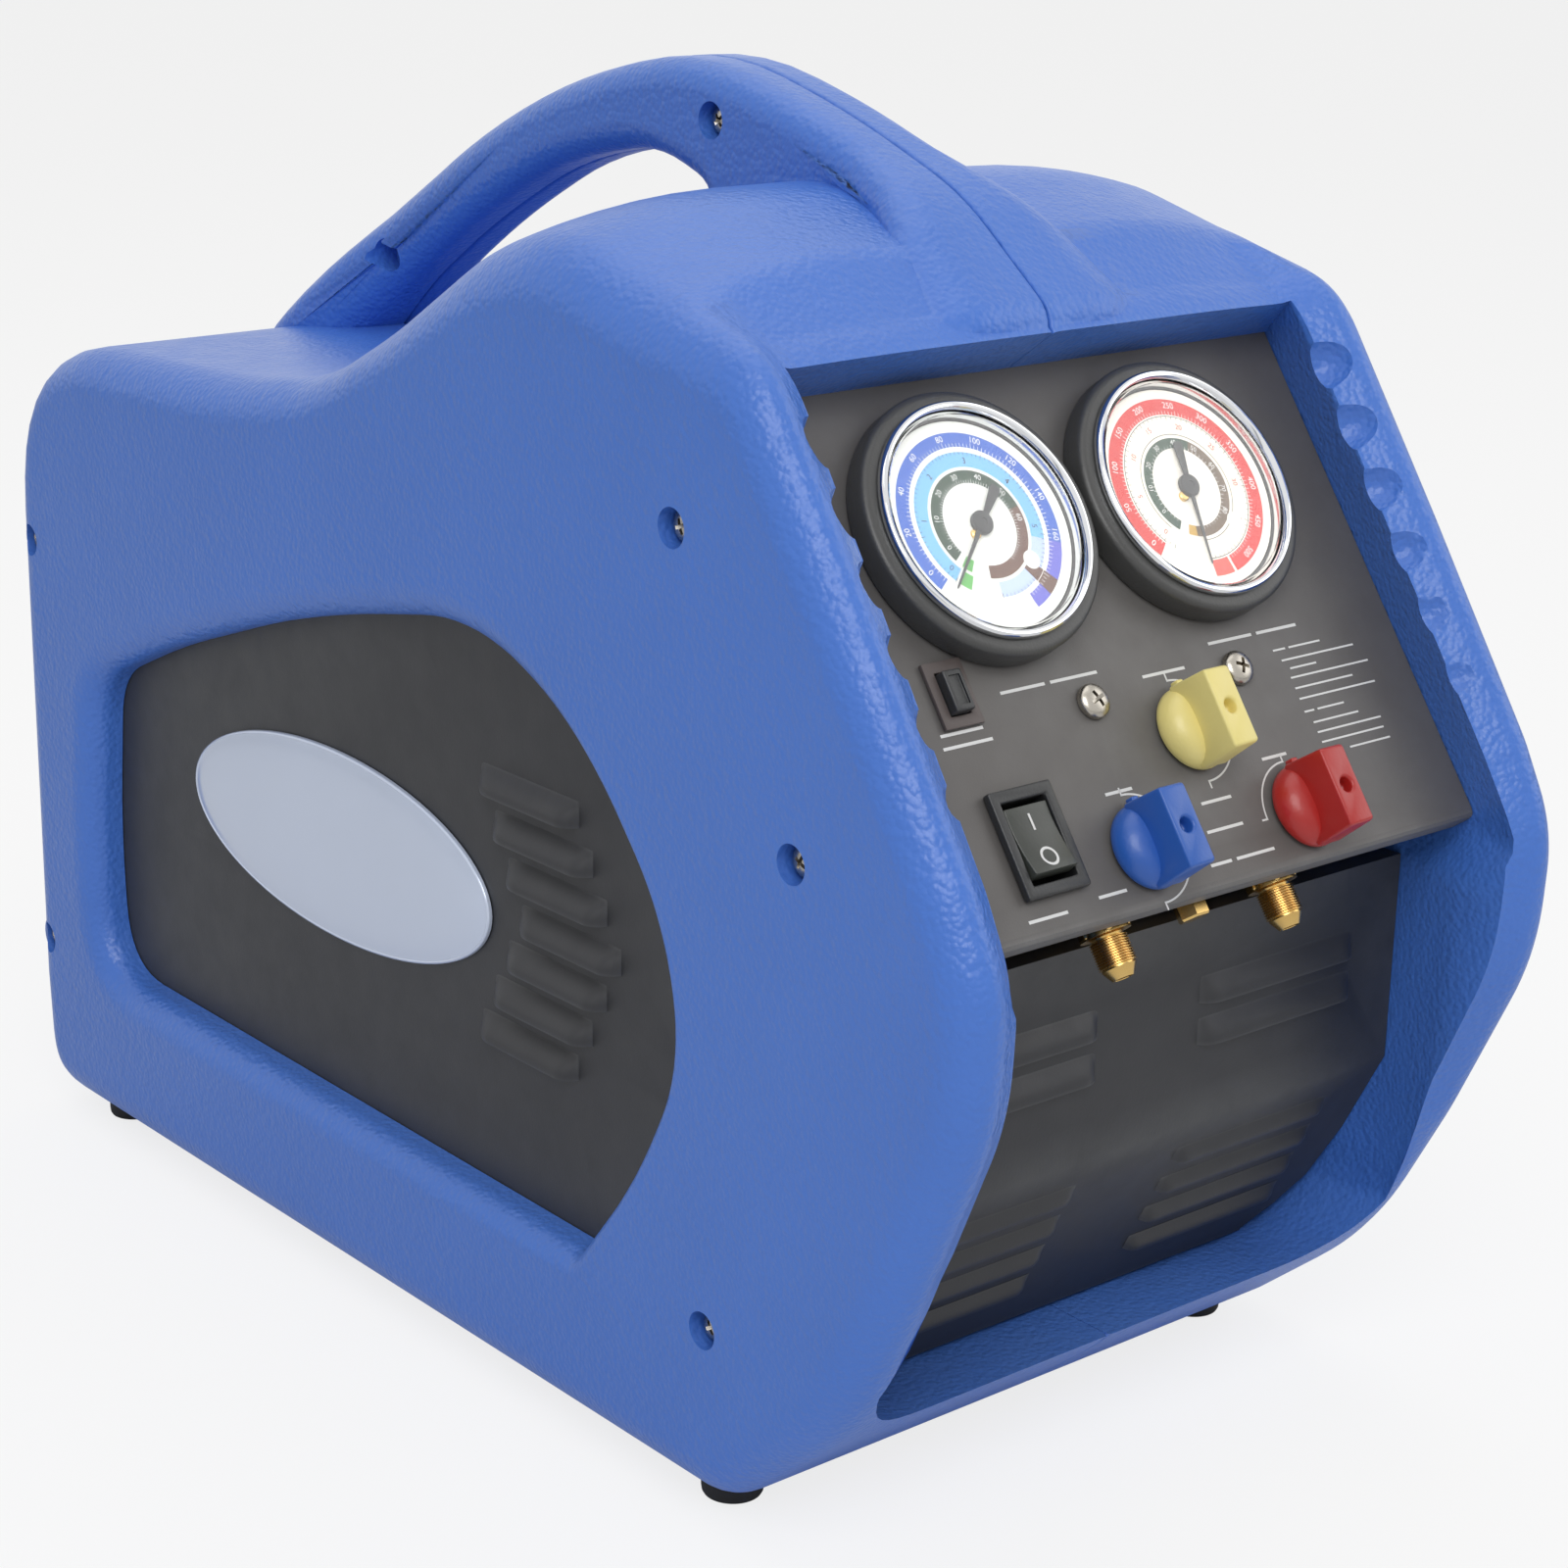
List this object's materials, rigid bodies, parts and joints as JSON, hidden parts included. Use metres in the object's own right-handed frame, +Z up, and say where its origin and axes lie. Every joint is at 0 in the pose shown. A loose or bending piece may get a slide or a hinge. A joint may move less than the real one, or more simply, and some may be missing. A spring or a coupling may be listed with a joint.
{
  "type": "refrigerant recovery machine",
  "caption": "Portable refrigerant recovery machine: blue moulded clamshell with arched handle, tilted control panel with gauges and valve knobs, louvred black panels.",
  "frame": {"origin": "bottom centre of the machine, feet on Z = 0", "axes": "+X to the right as the control panel is faced, the panel faces -Y, +Z up"},
  "size_m": [0.23, 0.4842, 0.383],
  "materials": {
    "shell_blue": "moulded grain, semi-matt",
    "black_steel": "fine black powder coat",
    "panel_steel": "fine dark grey powder coat",
    "rubber": "matt",
    "chrome": "polished",
    "black_plastic": "semi-matt",
    "breaker_grey": "semi-matt",
    "brass": "turned",
    "zinc_steel": "zinc plated",
    "cast_aluminium": "cast",
    "copper": "bare copper",
    "lens": "clear",
    "dial": "printed sheet",
    "badge": "gloss",
    "knob_yellow": "semi-matt",
    "knob_blue": "semi-matt",
    "knob_red": "semi-matt",
    "grey_paint": "grey paint"
  },
  "bodies": {
    "machine": {"base_tray": "grey_paint", "circuit_breaker_body": "breaker_grey", "compressor_crankcase": "cast_aluminium", "condenser_coil": "cast_aluminium", "control_panel": "panel_steel", "discharge_gauge_case": "black_plastic", "discharge_gauge_dial": "dial", "discharge_gauge_lens": "lens", "discharge_gauge_ring": "chrome", "discharge_tube": "copper", "drive_motor": "grey_paint", "front_left_foot": "rubber", "front_right_foot": "rubber", "handle_screw": "zinc_steel", "inlet_port": "brass", "left_badge": "badge", "left_cylinder_head": "cast_aluminium", "left_shell": "shell_blue", "left_shell_screw_1": "zinc_steel", "left_shell_screw_2": "zinc_steel", "left_shell_screw_3": "zinc_steel", "left_shell_screw_4": "zinc_steel", "left_shell_screw_5": "zinc_steel", "left_side_panel": "black_steel", "liquid_tube": "copper", "lower_front_panel": "black_steel", "outlet_port": "brass", "panel_screw_1": "zinc_steel", "panel_screw_2": "zinc_steel", "power_inlet": "black_plastic", "rear_grille": "black_steel", "rear_left_foot": "rubber", "rear_right_foot": "rubber", "right_badge": "badge", "right_cylinder_head": "cast_aluminium", "right_shell": "shell_blue", "right_shell_screw_1": "zinc_steel", "right_shell_screw_2": "zinc_steel", "right_shell_screw_3": "zinc_steel", "right_shell_screw_4": "zinc_steel", "right_shell_screw_5": "zinc_steel", "right_side_panel": "black_steel", "suction_gauge_case": "black_plastic", "suction_gauge_dial": "dial", "suction_gauge_lens": "lens", "suction_gauge_ring": "chrome", "suction_tube": "copper", "switch_body": "black_plastic", "valve_manifold": "brass"},
    "blue_valve": {"blue_knob": "knob_blue", "blue_valve_stem": "brass"},
    "yellow_valve": {"yellow_knob": "knob_yellow", "yellow_valve_stem": "brass"},
    "red_valve": {"red_knob": "knob_red", "red_valve_stem": "brass"},
    "power_switch_rocker": {"power_rocker": "black_plastic"},
    "breaker_button": {"circuit_breaker_button": "black_plastic"},
    "suction_pointer": {"suction_gauge_needle": "black_plastic"},
    "discharge_pointer": {"discharge_gauge_needle": "black_plastic"},
    "fan_rotor": {"cooling_fan": "black_plastic"}
  },
  "joints": [
    {"name": "blue_valve_turn", "type": "hinge", "parent": "machine", "child": "blue_valve", "pos_m": [-0.0228, -0.20863, 0.19884], "axis": [0, -0.809, 0.5878], "range_deg": [-180, 0]},
    {"name": "yellow_valve_turn", "type": "hinge", "parent": "machine", "child": "yellow_valve", "pos_m": [0.0095, -0.19229, 0.22133], "axis": [0, -0.809, 0.5878], "range_deg": [-180, 0]},
    {"name": "red_valve_turn", "type": "hinge", "parent": "machine", "child": "red_valve", "pos_m": [0.0388, -0.2091, 0.19819], "axis": [0, -0.809, 0.5878], "range_deg": [0, 90]},
    {"name": "power_rocker_tilt", "type": "hinge", "parent": "machine", "child": "power_switch_rocker", "pos_m": [-0.058, -0.20172, 0.20494], "axis": [1, 0, 0], "range_deg": [0, 16]},
    {"name": "breaker_button_slide", "type": "slide", "parent": "machine", "child": "breaker_button", "axis": [0, -0.809, 0.5878], "range_m": [0, 0.003]},
    {"name": "suction_pointer_turn", "type": "hinge", "parent": "machine", "child": "suction_pointer", "pos_m": [-0.0392, -0.15373, 0.2744], "axis": [0, -0.809, 0.5878], "range_deg": [-270, 0], "stiffness_Nm_per_rad": 0.001},
    {"name": "discharge_pointer_turn", "type": "hinge", "parent": "machine", "child": "discharge_pointer", "pos_m": [0.0392, -0.15373, 0.2744], "axis": [0, -0.809, 0.5878], "range_deg": [-270, 0], "stiffness_Nm_per_rad": 0.001},
    {"name": "fan_spin", "type": "hinge", "parent": "machine", "child": "fan_rotor", "pos_m": [0, 0.14717, 0.119], "axis": [0, 1, 0], "continuous": true}
  ]
}
